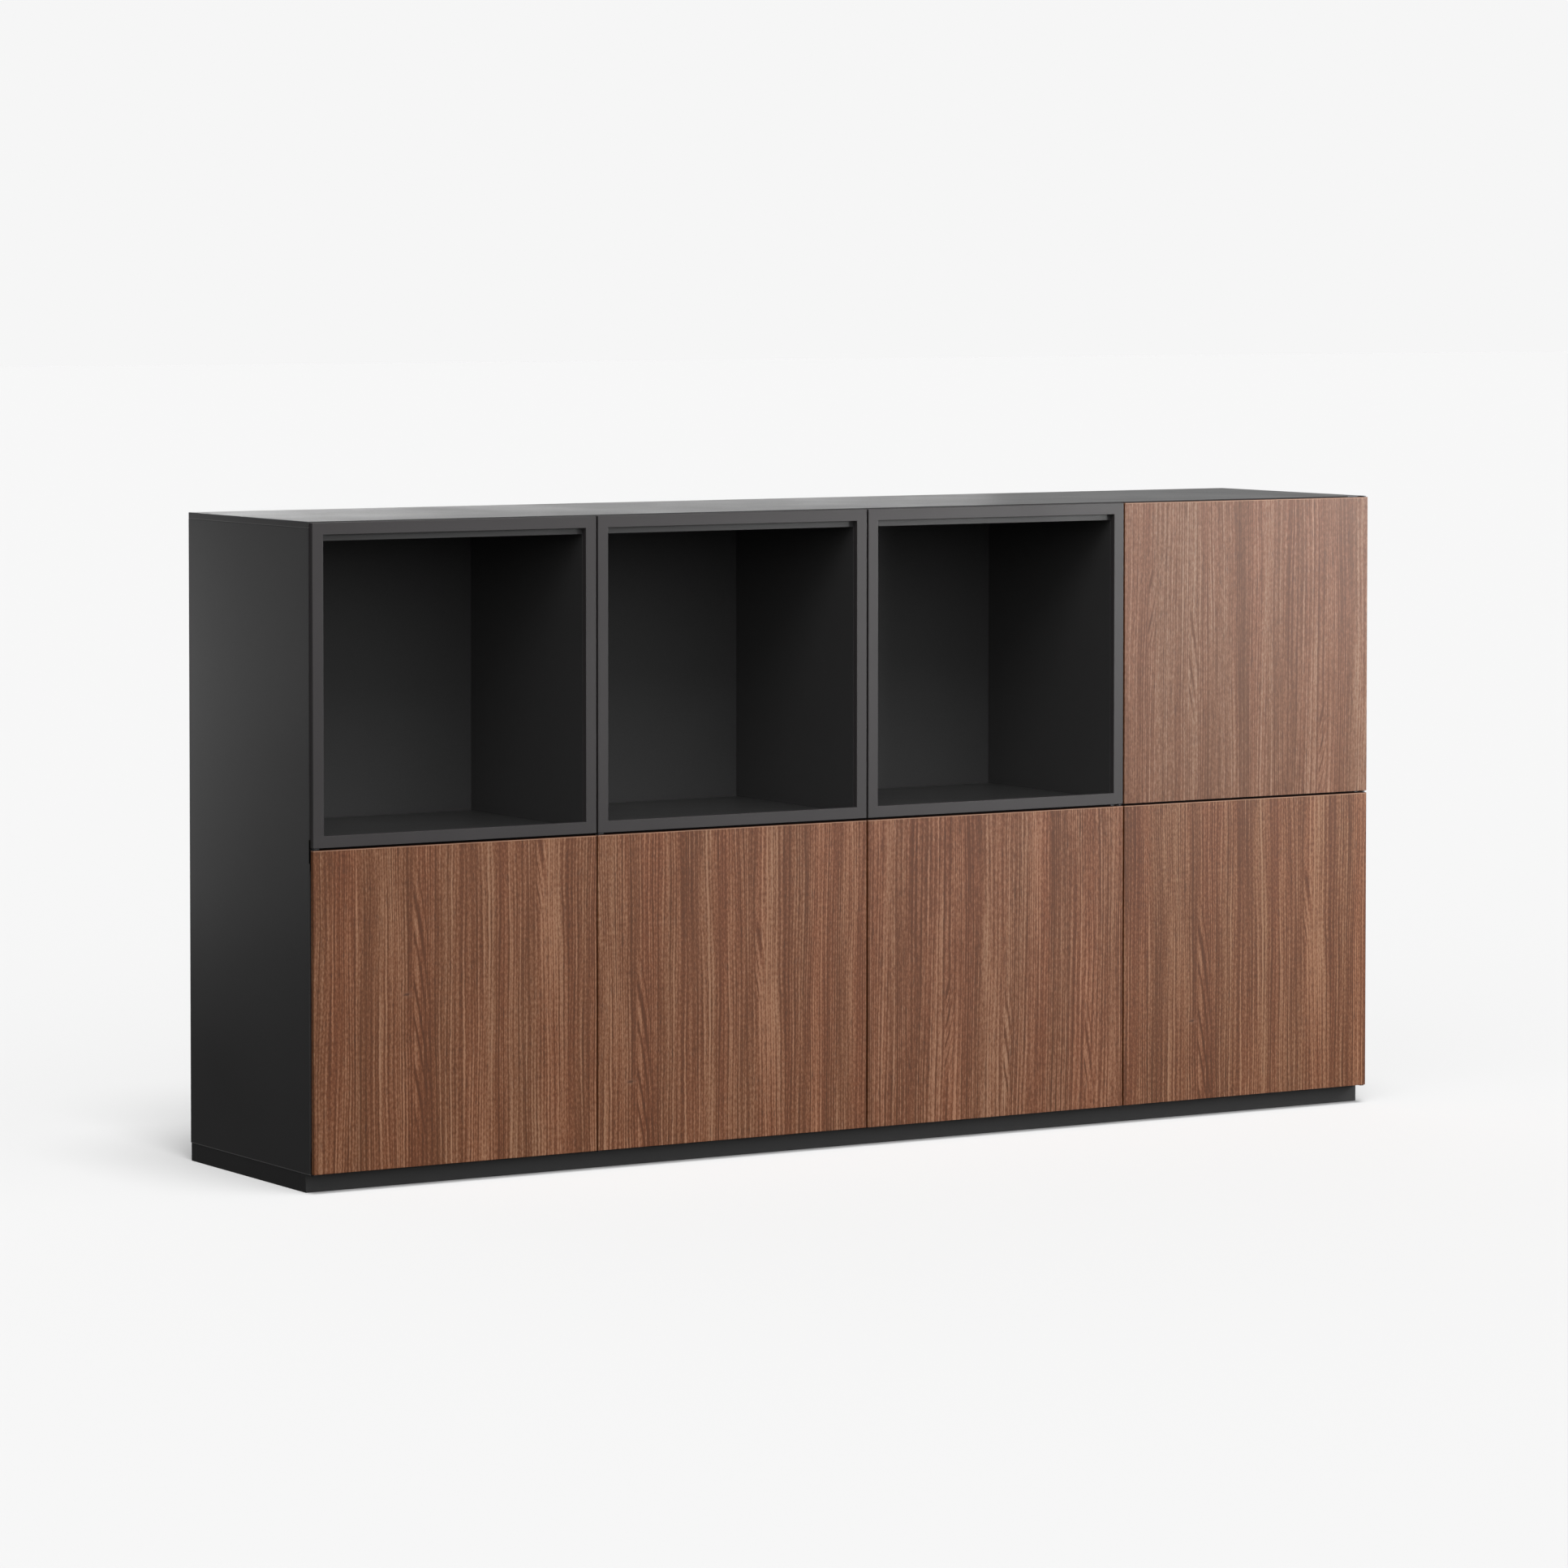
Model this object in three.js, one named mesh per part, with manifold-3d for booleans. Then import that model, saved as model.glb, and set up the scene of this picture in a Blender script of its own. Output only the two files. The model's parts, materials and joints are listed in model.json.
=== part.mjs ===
// Cube storage unit: four bolted column modules, two cells high, under one cover board and on a
// recessed plinth. Three upper cells are open behind thin face frames. The other five cells have
// flush doors on pivot hinges, held shut by push latches.
// Millimetres, +Z up. The origin is the centre of the footprint on the floor; the fronts face -Y.
import * as THREE from 'three';
import { mergeVertices } from 'three/addons/utils/BufferGeometryUtils.js';
import Module from 'manifold-3d';

// ---- driving dimensions ----
const COLUMNS = 4;
const CELL_W = 450;
const CELL_H = 449.5;
const DEPTH = 380;
const PLINTH_H = 26;
const BOARD = 18; // carcass board
const THIN_BOARD = 9; // cover, doors and face frames
const FRONT_GAP = 1; // between the back of a front and the carcass
const REVEAL = 1.5; // a front stops this far inside its cell, so two fronts are 3 apart
const BACK_T = 8;
const BACK_FROM_FRONT = 336; // front plane to the face of the back panel
const GROOVE_D = 6;
const FIT = 0.3; // clearance round a let-in or sliding piece
const FRAME_MEMBER = 16.5;

const PLINTH_T = 16;
const PLINTH_SETBACK = 24.5; // behind the front plane
const PLINTH_INSET = 1; // at the two ends

const PIN_R = 1.5;
const PIN_HOLE_R = 1.8;
const PIN_L = 12;
const PIN_FROM_EDGE = 3.5; // from the door's hinged edge
const PIN_FROM_FRONT = 4; // behind the door's face
const DOOR_CHAMFER = 1.5; // on the hinged rear edge, so that it clears the carcass
const TONGUE_T = 1.2;
const TONGUE_L = 7.4; // how far the tongue reaches in front of the carcass
const FLANGE_T = 1.5;
const FLANGE_H = 32;
const FLANGE_W = 14;
const TOP_FLANGE_W = 30;
const TOP_FLANGE_H = 7.5;
const TONGUE_HALF_W = 3;

const LATCH = { width: 16, length: 56, height: 16, setback: 2, boreDepth: 50, underBoard: 0.5 };
const PLUNGER = { rodR: 3, rodL: 40, headR: 4.5, headL: 2.4, boreR: 3.3, behindDoor: 0.3 };
const BRACKET = { width: 40, leg: 32, drop: 50, t: 2, wallHoleR: 3.2, screwR: 2.2, screwPitch: 24 };
const ROUND_SIDES = 24;

// ---- derived sizes ----
const WIDTH = COLUMNS * CELL_W;
const FRONT_Y = -DEPTH / 2;
const CARCASS_Y = FRONT_Y + THIN_BOARD + FRONT_GAP;
const CARCASS_D = DEPTH / 2 - CARCASS_Y;
const BODY_H = 2 * CELL_H; // carcass and cover together
const HEIGHT = PLINTH_H + BODY_H;
const MODULE_H = BODY_H - THIN_BOARD;
const INNER_W = CELL_W - 2 * BOARD;
const BACK_Y = BACK_FROM_FRONT - THIN_BOARD - FRONT_GAP; // from the carcass front
const FRONT_W = CELL_W - 2 * REVEAL;
const FRONT_H = CELL_H - 2 * REVEAL;

// The doors, column by column from the left. Each outer pair swings away from the middle.
const DOORS = [
  { column: 1, row: 'lower', hinged: 'left' },
  { column: 2, row: 'lower', hinged: 'left' },
  { column: 3, row: 'lower', hinged: 'right' },
  { column: 4, row: 'lower', hinged: 'right' },
  { column: 4, row: 'upper', hinged: 'right' },
];
const FRAMED_COLUMNS = [1, 2, 3];
const BRACKET_COLUMNS = { left: 1, right: 4 };

// ---- materials ----
const FINISHES = {
  charcoal: { color: 0x454446, roughness: 0.55, metalness: 0 },
  walnut: { color: 0x7c5a46, roughness: 0.5, metalness: 0 },
  frame: { color: 0x504f50, roughness: 0.45, metalness: 0 },
  steel: { color: 0xa8aaad, roughness: 0.35, metalness: 1 },
  black: { color: 0x1d1d1f, roughness: 0.5, metalness: 0 },
};

// ---- solids ----
const wasm = await Module();
wasm.setup();

// A closed three.js geometry as a solid that can be joined and cut.
function solid(geometry) {
  const bare = geometry.clone();
  bare.deleteAttribute('normal');
  bare.deleteAttribute('uv');
  const merged = mergeVertices(bare);
  return new wasm.Manifold(
    new wasm.Mesh({
      numProp: 3,
      vertProperties: merged.attributes.position.array,
      triVerts: new Uint32Array(merged.index.array),
    }),
  );
}

function geometryOf(made) {
  const { vertProperties, triVerts } = made.getMesh();
  const indexed = new THREE.BufferGeometry();
  indexed.setAttribute('position', new THREE.BufferAttribute(vertProperties, 3));
  indexed.setIndex(new THREE.BufferAttribute(triVerts, 1));
  const flat = indexed.toNonIndexed();
  flat.computeVertexNormals();
  return flat;
}

// A block between two values on each axis, given in either order.
function block(xs, ys, zs) {
  const spans = [xs, ys, zs];
  const sizes = spans.map(([a, b]) => Math.abs(b - a));
  const middles = spans.map(([a, b]) => (a + b) / 2);
  return solid(new THREE.BoxGeometry(...sizes).translate(...middles));
}

// A cylinder along Y or Z, from one value to another on that axis.
function rod(radius, axis, from, to, x, other) {
  const length = Math.abs(to - from);
  const middle = (from + to) / 2;
  const shape = new THREE.CylinderGeometry(radius, radius, length, ROUND_SIDES);
  if (axis === 'z') {
    return solid(shape.rotateX(Math.PI / 2).translate(x, other, middle));
  }
  return solid(shape.translate(x, middle, other));
}

const unit = new THREE.Group();

function addPiece(parent, name, made, finish, position = [0, 0, 0]) {
  const mesh = new THREE.Mesh(geometryOf(made), new THREE.MeshStandardMaterial(FINISHES[finish]));
  mesh.name = name;
  mesh.position.set(...position);
  parent.add(mesh);
  return mesh;
}

// ---- where things are ----
const columnX = (column) => -WIDTH / 2 + (column - 1) * CELL_W;
const rowZ = { lower: PLINTH_H, upper: PLINTH_H + CELL_H };
const middleZ = rowZ.upper; // the line between the two rows
const sideSign = { left: 1, right: -1 }; // from the hinged edge towards the free edge

function edgeX(column, side) {
  return columnX(column) + (side === 'left' ? 0 : CELL_W);
}

function pinX(door) {
  return edgeX(door.column, door.hinged) + sideSign[door.hinged] * (REVEAL + PIN_FROM_EDGE);
}

const PIN_Y = FRONT_Y + PIN_FROM_FRONT;

// ---- one column module ----
// Local frame: left edge, front edge and underside of the carcass are at zero.
function backGroove(xs, zs) {
  return block(xs, [BACK_Y, BACK_Y + BACK_T + 2 * FIT], zs);
}

// Recess for a hinge flange in the front edge of a side panel. The flange lies 2 from the
// panel's outer face, in line with the pin's tongue.
function flangeMortise(side, bottom, top) {
  const outer = REVEAL + PIN_FROM_EDGE - TONGUE_HALF_W;
  const xs = [outer - FIT, outer + FLANGE_W + FIT];
  const spans = side === 'left' ? xs : xs.map((x) => BOARD - x);
  return block(spans, [-1, FLANGE_T + FIT], [bottom - FIT, top + FIT]);
}

function sidePanel(column, side) {
  let panel = block([0, BOARD], [0, CARCASS_D], [0, MODULE_H]);
  const innerFace = side === 'left' ? [BOARD - GROOVE_D, BOARD + 1] : [-1, GROOVE_D];
  panel = panel.subtract(backGroove(innerFace, [-1, MODULE_H + 1]));
  const hinged = DOORS.some((d) => d.column === column && d.hinged === side);
  if (hinged) {
    const underMiddle = CELL_H + TONGUE_T / 2;
    panel = panel.subtract(flangeMortise(side, -1, FLANGE_H));
    panel = panel.subtract(flangeMortise(side, underMiddle - FLANGE_H, underMiddle));
  }
  return panel;
}

function levelBoard(grooveZ) {
  const board = block([0, INNER_W], [0, CARCASS_D], [0, BOARD]);
  return board.subtract(backGroove([-1, INNER_W + 1], grooveZ));
}

function addColumn(column) {
  const module = new THREE.Group();
  module.position.set(columnX(column), CARCASS_Y, PLINTH_H);
  unit.add(module);
  const name = (piece) => `column_${column}_${piece}`;

  addPiece(module, name('side_left'), sidePanel(column, 'left'), 'charcoal');
  addPiece(module, name('side_right'), sidePanel(column, 'right'), 'charcoal', [CELL_W - BOARD, 0, 0]);
  addPiece(module, name('bottom'), levelBoard([BOARD - GROOVE_D, BOARD + 1]), 'charcoal', [BOARD, 0, 0]);
  addPiece(module, name('top'), levelBoard([-1, GROOVE_D]), 'charcoal', [BOARD, 0, MODULE_H - BOARD]);

  const shelf = block([0, INNER_W], [0, BACK_Y], [0, BOARD]);
  addPiece(module, name('shelf'), shelf, 'charcoal', [BOARD, 0, CELL_H - BOARD / 2]);

  const edge = BOARD - GROOVE_D + FIT;
  const back = block([edge, CELL_W - edge], [0, BACK_T], [edge, MODULE_H - edge]);
  addPiece(module, name('back'), back, 'charcoal', [0, BACK_Y + FIT, 0]);
}

// ---- cover and plinth ----
function addCover() {
  let cover = block([-WIDTH / 2, WIDTH / 2], [0, CARCASS_D], [0, THIN_BOARD]);
  for (const door of DOORS.filter((d) => d.row === 'upper')) {
    const toFree = sideSign[door.hinged];
    const from = pinX(door) - toFree * (TONGUE_HALF_W + FIT);
    const to = pinX(door) + toFree * (TOP_FLANGE_W - TONGUE_HALF_W + FIT);
    const notchZ = [THIN_BOARD - TOP_FLANGE_H - FIT, THIN_BOARD + 1];
    cover = cover.subtract(block([from, to], [-1, FLANGE_T + FIT], notchZ));
  }
  addPiece(unit, 'top_cover', cover, 'charcoal', [0, CARCASS_Y, HEIGHT - THIN_BOARD]);
}

function addPlinth() {
  const half = WIDTH / 2 - PLINTH_INSET;
  const front = FRONT_Y + PLINTH_SETBACK;
  const rear = DEPTH / 2;
  const inner = [front + PLINTH_T, rear - PLINTH_T];
  const zs = [0, PLINTH_H];
  addPiece(unit, 'plinth_front', block([-half, half], [front, inner[0]], zs), 'charcoal');
  addPiece(unit, 'plinth_back', block([-half, half], [inner[1], rear], zs), 'charcoal');
  addPiece(unit, 'plinth_left', block([-half, PLINTH_T - half], inner, zs), 'charcoal');
  addPiece(unit, 'plinth_right', block([half - PLINTH_T, half], inner, zs), 'charcoal');
  addPiece(unit, 'plinth_brace', block([-PLINTH_T / 2, PLINTH_T / 2], inner, zs), 'charcoal');
}

// ---- face frames ----
// A rectangle centred on the origin, as an outline.
function rectangle(width, height, Kind = THREE.Shape) {
  const x = width / 2;
  const y = height / 2;
  const corners = [
    [-x, -y],
    [x, -y],
    [x, y],
    [-x, y],
  ];
  return new Kind(corners.map(([u, v]) => new THREE.Vector2(u, v)));
}

function ring(outerW, outerH, innerW, innerH, thickness) {
  const outline = rectangle(outerW, outerH);
  outline.holes.push(rectangle(innerW, innerH, THREE.Path));
  return new THREE.ExtrudeGeometry(outline, { depth: thickness, bevelEnabled: false, steps: 1 });
}

// A flat ring with a narrower spacer rib on its back, which bears on the carcass.
function addFaceFrame(column) {
  const innerW = FRONT_W - 2 * FRAME_MEMBER;
  const innerH = FRONT_H - 2 * FRAME_MEMBER;
  const ribOverlap = 1;
  const ribOuter = 5;
  const ribInner = 0.5;
  const face = solid(ring(FRONT_W, FRONT_H, innerW, innerH, THIN_BOARD));
  const rib = solid(
    ring(
      FRONT_W - 2 * ribOuter,
      FRONT_H - 2 * ribOuter,
      innerW + 2 * ribInner,
      innerH + 2 * ribInner,
      FRONT_GAP + ribOverlap,
    ).translate(0, 0, -FRONT_GAP),
  );
  const middle = [columnX(column) + CELL_W / 2, FRONT_Y + THIN_BOARD, rowZ.upper + CELL_H / 2];
  const frame = addPiece(unit, `face_frame_${column}`, face.add(rib), 'frame', middle);
  frame.rotation.x = Math.PI / 2; // stands it up, with its face to -Y
}

// ---- doors ----
// Local frame: the hinge axis is at x = y = 0 and the bottom edge at z = 0.
function addDoor(door) {
  const toFree = sideSign[door.hinged];
  const front = -PIN_FROM_FRONT;
  const rear = THIN_BOARD - PIN_FROM_FRONT;
  const plan = [
    [-PIN_FROM_EDGE, front],
    [FRONT_W - PIN_FROM_EDGE, front],
    [FRONT_W - PIN_FROM_EDGE, rear],
    [DOOR_CHAMFER - PIN_FROM_EDGE, rear],
    [-PIN_FROM_EDGE, rear - DOOR_CHAMFER],
  ];
  const outline = new THREE.Shape(plan.map(([x, y]) => new THREE.Vector2(toFree * x, y)));
  let leaf = solid(
    new THREE.ExtrudeGeometry(outline, { depth: FRONT_H, bevelEnabled: false, steps: 1 }),
  );
  const holeDepth = PIN_L + 2 * FIT;
  leaf = leaf.subtract(rod(PIN_HOLE_R, 'z', -1, holeDepth, 0, 0));
  leaf = leaf.subtract(rod(PIN_HOLE_R, 'z', FRONT_H - holeDepth, FRONT_H + 1, 0, 0));
  const position = [pinX(door), PIN_Y, rowZ[door.row] + REVEAL];
  addPiece(unit, `door_${door.row}_${door.column}`, leaf, 'walnut', position);
}

// ---- pivot hinges ----
// Local frame: the pin's axis is at x = 0 and y = 0 is the carcass front. The tongue lies
// between tongueZ values; the flange, let into the edge behind it, spans flangeZ; pins stand
// on the tongue towards each door.
function hinge(toFree, tongueZ, flangeZ, flangeW, pins) {
  const xs = [-toFree * TONGUE_HALF_W, toFree * TONGUE_HALF_W];
  const flangeXs = [xs[0], xs[0] + toFree * flangeW];
  let made = block(flangeXs, [0, FLANGE_T], flangeZ);
  made = made.add(block(xs, [-TONGUE_L, FLANGE_T / 2], tongueZ));
  const pinY = PIN_Y - CARCASS_Y;
  for (const direction of pins) {
    const root = (tongueZ[0] + tongueZ[1]) / 2;
    const tip = (direction > 0 ? tongueZ[1] : tongueZ[0]) + direction * PIN_L;
    made = made.add(rod(PIN_R, 'z', root, tip, 0, pinY));
  }
  return made;
}

function addHinges() {
  for (const door of DOORS) {
    const toFree = sideSign[door.hinged];
    const x = pinX(door);
    if (door.row === 'lower') {
      const bottom = hinge(toFree, [0, TONGUE_T], [0, FLANGE_H], FLANGE_W, [1]);
      addPiece(unit, `hinge_lower_${door.column}_bottom`, bottom, 'steel', [x, CARCASS_Y, PLINTH_H]);
      const shared = DOORS.some((d) => d.row === 'upper' && d.column === door.column);
      const t = TONGUE_T / 2;
      const middle = hinge(toFree, [-t, t], [t - FLANGE_H, t], FLANGE_W, shared ? [-1, 1] : [-1]);
      const name = shared ? `hinge_middle_${door.column}` : `hinge_lower_${door.column}_top`;
      addPiece(unit, name, middle, 'steel', [x, CARCASS_Y, middleZ]);
    } else {
      const top = hinge(toFree, [-TONGUE_T, 0], [-TOP_FLANGE_H, 0], TOP_FLANGE_W, [-1]);
      addPiece(unit, `hinge_upper_${door.column}_top`, top, 'steel', [x, CARCASS_Y, HEIGHT]);
    }
  }
}

// ---- push latches ----
// A housing on the free side's wall, close under the board above, and a sprung plunger whose
// head rests just behind the door.
function addLatch(door) {
  const free = door.hinged === 'left' ? 'right' : 'left';
  const toWall = sideSign[free];
  const wallX = edgeX(door.column, free) + toWall * BOARD;
  const boardZ = door.row === 'lower' ? middleZ - BOARD / 2 : HEIGHT - THIN_BOARD - BOARD;
  const z = boardZ - LATCH.underBoard - LATCH.height / 2;
  const x = wallX + (toWall * LATCH.width) / 2;

  const body = block(
    [-LATCH.width / 2, LATCH.width / 2],
    [0, LATCH.length],
    [-LATCH.height / 2, LATCH.height / 2],
  );
  const housing = body.subtract(rod(PLUNGER.boreR, 'y', -1, LATCH.boreDepth, 0, 0));
  const tag = `${door.row}_${door.column}`;
  const mouth = CARCASS_Y + LATCH.setback;
  addPiece(unit, `latch_housing_${tag}`, housing, 'black', [x, mouth, z]);

  const head = rod(PLUNGER.headR, 'y', 0, PLUNGER.headL, 0, 0);
  const stem = rod(PLUNGER.rodR, 'y', PLUNGER.headL / 2, PLUNGER.headL + PLUNGER.rodL, 0, 0);
  const tip = FRONT_Y + THIN_BOARD + PLUNGER.behindDoor;
  addPiece(unit, `latch_plunger_${tag}`, head.add(stem), 'black', [x, tip, z]);
}

// ---- anti-tip brackets ----
// An angle under the top board, behind the back panel, with its upright leg at the wall.
function addWallBracket(end, column) {
  const half = BRACKET.width / 2;
  const t = BRACKET.t;
  let angle = block([-half, half], [-BRACKET.leg, 0], [-t, 0]);
  angle = angle.add(block([-half, half], [-t, 0], [-BRACKET.drop, -t / 2]));
  angle = angle.subtract(rod(BRACKET.wallHoleR, 'y', -t - 1, 1, 0, -BRACKET.drop * 0.6));
  for (const x of [-BRACKET.screwPitch / 2, BRACKET.screwPitch / 2]) {
    angle = angle.subtract(rod(BRACKET.screwR, 'z', -t - 1, 1, x, -BRACKET.leg * 0.6));
  }
  const top = HEIGHT - THIN_BOARD - BOARD;
  const position = [columnX(column) + CELL_W / 2, DEPTH / 2, top];
  addPiece(unit, `wall_bracket_${end}`, angle, 'steel', position);
}

// ---- the whole unit ----
for (let column = 1; column <= COLUMNS; column += 1) {
  addColumn(column);
}
addCover();
addPlinth();
FRAMED_COLUMNS.forEach(addFaceFrame);
DOORS.forEach(addDoor);
addHinges();
DOORS.forEach(addLatch);
for (const [end, column] of Object.entries(BRACKET_COLUMNS)) {
  addWallBracket(end, column);
}

export default unit;
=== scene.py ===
"""Cube storage unit: looks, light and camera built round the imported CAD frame."""

import json
import math

import bmesh
import bpy
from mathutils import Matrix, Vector


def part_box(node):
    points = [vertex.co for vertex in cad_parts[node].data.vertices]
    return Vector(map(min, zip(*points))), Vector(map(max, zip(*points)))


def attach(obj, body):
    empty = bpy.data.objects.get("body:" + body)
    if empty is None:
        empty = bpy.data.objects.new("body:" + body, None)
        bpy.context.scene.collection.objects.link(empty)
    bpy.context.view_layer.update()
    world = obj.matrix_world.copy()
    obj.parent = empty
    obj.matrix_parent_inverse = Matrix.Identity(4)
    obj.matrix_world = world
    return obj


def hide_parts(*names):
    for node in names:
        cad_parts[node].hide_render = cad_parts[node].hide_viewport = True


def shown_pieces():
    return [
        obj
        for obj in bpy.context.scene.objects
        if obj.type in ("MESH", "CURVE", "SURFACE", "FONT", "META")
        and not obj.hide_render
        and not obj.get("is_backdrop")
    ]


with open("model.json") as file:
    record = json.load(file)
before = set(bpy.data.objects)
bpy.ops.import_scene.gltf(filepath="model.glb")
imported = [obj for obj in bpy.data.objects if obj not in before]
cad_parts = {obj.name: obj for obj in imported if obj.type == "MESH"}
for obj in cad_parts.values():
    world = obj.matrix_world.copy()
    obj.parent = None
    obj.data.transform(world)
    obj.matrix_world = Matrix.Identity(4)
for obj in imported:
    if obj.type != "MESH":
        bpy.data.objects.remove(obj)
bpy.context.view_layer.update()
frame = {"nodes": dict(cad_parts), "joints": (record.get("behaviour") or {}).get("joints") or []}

MM = 0.001
NODES = frame["nodes"]


def named(prefix, suffix=""):
    """The CAD nodes whose names start and end in a given way, in alphabetical order."""
    return [name for name in sorted(NODES) if name.startswith(prefix) and name.endswith(suffix)]


DOORS = named("door_")
FRAMES = named("face_frame_")
HINGES = named("hinge_")
HOUSINGS = named("latch_housing_")
PLUNGERS = named("latch_plunger_")
BRACKETS = named("wall_bracket_")
PLINTH = named("plinth_")
BACKS = named("column_", "_back")
COVER = "top_cover"
BOARDS = [name for name in named("column_") if name not in BACKS] + [COVER]


# ---------------------------------------------------------------- camera

CAMERA_PLACE = Vector((-4.74882, -7.66806, 1.28292))
CAMERA_YAW = math.radians(31.1946)
CAMERA_PITCH = math.radians(2.5)
CAMERA_LENS = 141.148
CAMERA_SHIFT = (0.03023, -0.16313)


def make_camera():
    data = bpy.data.cameras.new("camera")
    data.lens = CAMERA_LENS
    data.sensor_width = 36.0
    data.shift_x, data.shift_y = CAMERA_SHIFT
    data.clip_start = 0.1
    data.clip_end = 200.0
    camera = bpy.data.objects.new("camera", data)
    camera.location = CAMERA_PLACE
    camera.rotation_euler = (math.pi / 2 - CAMERA_PITCH, 0.0, -CAMERA_YAW)
    bpy.context.scene.collection.objects.link(camera)
    bpy.context.scene.camera = camera


make_camera()


# ---------------------------------------------------------------- materials


class Graph:
    """A material whose nodes are added by short calls; every texture reads object coordinates."""

    def __init__(self, name):
        self.material = bpy.data.materials.new(name)
        self.material.use_nodes = True
        self.tree = self.material.node_tree
        self.shader = self.tree.nodes["Principled BSDF"]
        self.place = self.node("ShaderNodeTexCoord").outputs["Object"]

    def node(self, kind, **settings):
        made = self.tree.nodes.new(kind)
        for key, value in settings.items():
            setattr(made, key, value)
        return made

    def put(self, socket, value):
        if isinstance(value, bpy.types.NodeSocket):
            self.tree.links.new(value, socket)
        else:
            socket.default_value = value

    def math(self, operation, a, b=0.0):
        made = self.node("ShaderNodeMath", operation=operation)
        self.put(made.inputs[0], a)
        self.put(made.inputs[1], b)
        return made.outputs[0]

    def axes(self, vector):
        made = self.node("ShaderNodeSeparateXYZ")
        self.put(made.inputs[0], vector)
        return made.outputs[0], made.outputs[1], made.outputs[2]

    def point(self, x, y, z=0.0):
        made = self.node("ShaderNodeCombineXYZ")
        self.put(made.inputs[0], x)
        self.put(made.inputs[1], y)
        self.put(made.inputs[2], z)
        return made.outputs[0]

    def noise(self, vector, scale=1.0, detail=2.0, roughness=0.5):
        made = self.node("ShaderNodeTexNoise")
        self.put(made.inputs["Vector"], vector)
        made.inputs["Scale"].default_value = scale
        made.inputs["Detail"].default_value = detail
        made.inputs["Roughness"].default_value = roughness
        return made.outputs[0]

    def spread(self, value, low, high, to_low=0.0, to_high=1.0, smooth=False):
        made = self.node("ShaderNodeMapRange", interpolation_type="SMOOTHSTEP" if smooth else "LINEAR")
        self.put(made.inputs["Value"], value)
        made.inputs["From Min"].default_value = low
        made.inputs["From Max"].default_value = high
        made.inputs["To Min"].default_value = to_low
        made.inputs["To Max"].default_value = to_high
        return made.outputs["Result"]

    def ramp(self, value, stops):
        made = self.node("ShaderNodeValToRGB")
        self.put(made.inputs[0], value)
        elements = made.color_ramp.elements
        while len(elements) < len(stops):
            elements.new(0.5)
        for element, (position, colour) in zip(elements, stops):
            element.position = position
            element.color = (*colour, 1.0)
        return made.outputs[0]

    def mix(self, share, a, b, blend="MIX"):
        made = self.node("ShaderNodeMix", data_type="RGBA", blend_type=blend)
        self.put(made.inputs[0], share)
        for socket, value in ((made.inputs[6], a), (made.inputs[7], b)):
            if not isinstance(value, bpy.types.NodeSocket):
                value = (*value, 1.0)
            self.put(socket, value)
        return made.outputs[2]

    def bump(self, height, distance, strength):
        made = self.node("ShaderNodeBump")
        made.inputs["Strength"].default_value = strength
        made.inputs["Distance"].default_value = distance
        self.put(made.inputs["Height"], height)
        self.tree.links.new(made.outputs[0], self.shader.inputs["Normal"])

    def finish(self, colour, roughness, metallic=0.0):
        self.put(self.shader.inputs["Base Color"], colour)
        self.put(self.shader.inputs["Roughness"], roughness)
        self.shader.inputs["Metallic"].default_value = metallic
        return self.material


WALNUT_DARK = (0.122, 0.036, 0.009)
WALNUT_BROWN = (0.194, 0.064, 0.024)
WALNUT_MID = (0.274, 0.109, 0.052)
WALNUT_LIGHT = (0.468, 0.247, 0.153)
# The pore colour also serves as painted shade on the doors' top edges.
WALNUT_PORE_AND_GAP_SHADE = (0.060, 0.018, 0.006)
TONES = [(0.12, WALNUT_DARK), (0.38, WALNUT_BROWN), (0.56, WALNUT_MID), (0.92, WALNUT_LIGHT)]
# The edge band's colour, which also serves as a painted highlight along the doors' top edges.
EDGE_BAND_AND_HIGHLIGHT = (0.520, 0.300, 0.200)
TAN_TINT = (0.98, 1.015, 1.03)
RED_TINT = (1.03, 0.965, 0.94)

KNOT_W = 11.0 * MM
KNOT_H = 4.4 * MM
KNOT_WAVES_PER_METRE = 260.0

# The black edges are painted shade in the gaps, on the doors' top edges and on the carcass front.
MATT = 0.05  # specular level of the black edges
GLOSSY = 0.5  # specular level of everything else

# A pattern's pitch: waves per metre across the grain, and along it.
CURL = (480.0, 190.0)
FIBRE = (1300.0, 30.0)
PORES = (760.0, 42.0)
WARMTH = (24.0, 1.2)

# The grain, from broad to fine: a pitch, and the weight that it has in the shading.
GRAIN = [
    ((9.0, 0.5), 0.22),
    ((20.0, 0.7), 0.50),
    ((44.0, 0.9), 0.38),
    ((88.0, 1.6), 0.32),
    ((330.0, 6.0), 0.55),
]
FINE_PER_METRE = 60.0  # the sheet's own contrast acts on the grain that is broader than this
CURL_WEIGHT = 0.80

GROWTH = [(128.0, 0.17), (236.0, 0.20)]  # growth lines per metre, and their weight

# How the grain sways: a pitch, and the reach in millimetres.
BROAD_BEND = ((6.0, 1.3), 9.0)
NARROW_BEND = ((30.0, 5.0), 2.0)
FINE_BEND = ((90.0, 26.0), 0.35)

# The door's top edge: where the pale band, partly a painted highlight, and the painted shade above it
# start and are full, in millimetres below the top.
PALE_EDGE_AND_HIGHLIGHT = (1.7, 1.2)
GAP_SHADE_EDGE = (0.6, 0.4)


class Flame:
    """Strokes that leave a seam in the veneer and run out beside it. Lengths are in millimetres.

    A positive lean falls away to the right of the seam and a negative one rises.
    """

    def __init__(self, x, z, half_height, lean, spacing, reach):
        self.x, self.z, self.half_height = x * MM, z * MM, half_height * MM
        self.lean, self.per_metre, self.reach = lean, 1.0 / (spacing * MM), reach * MM


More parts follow.
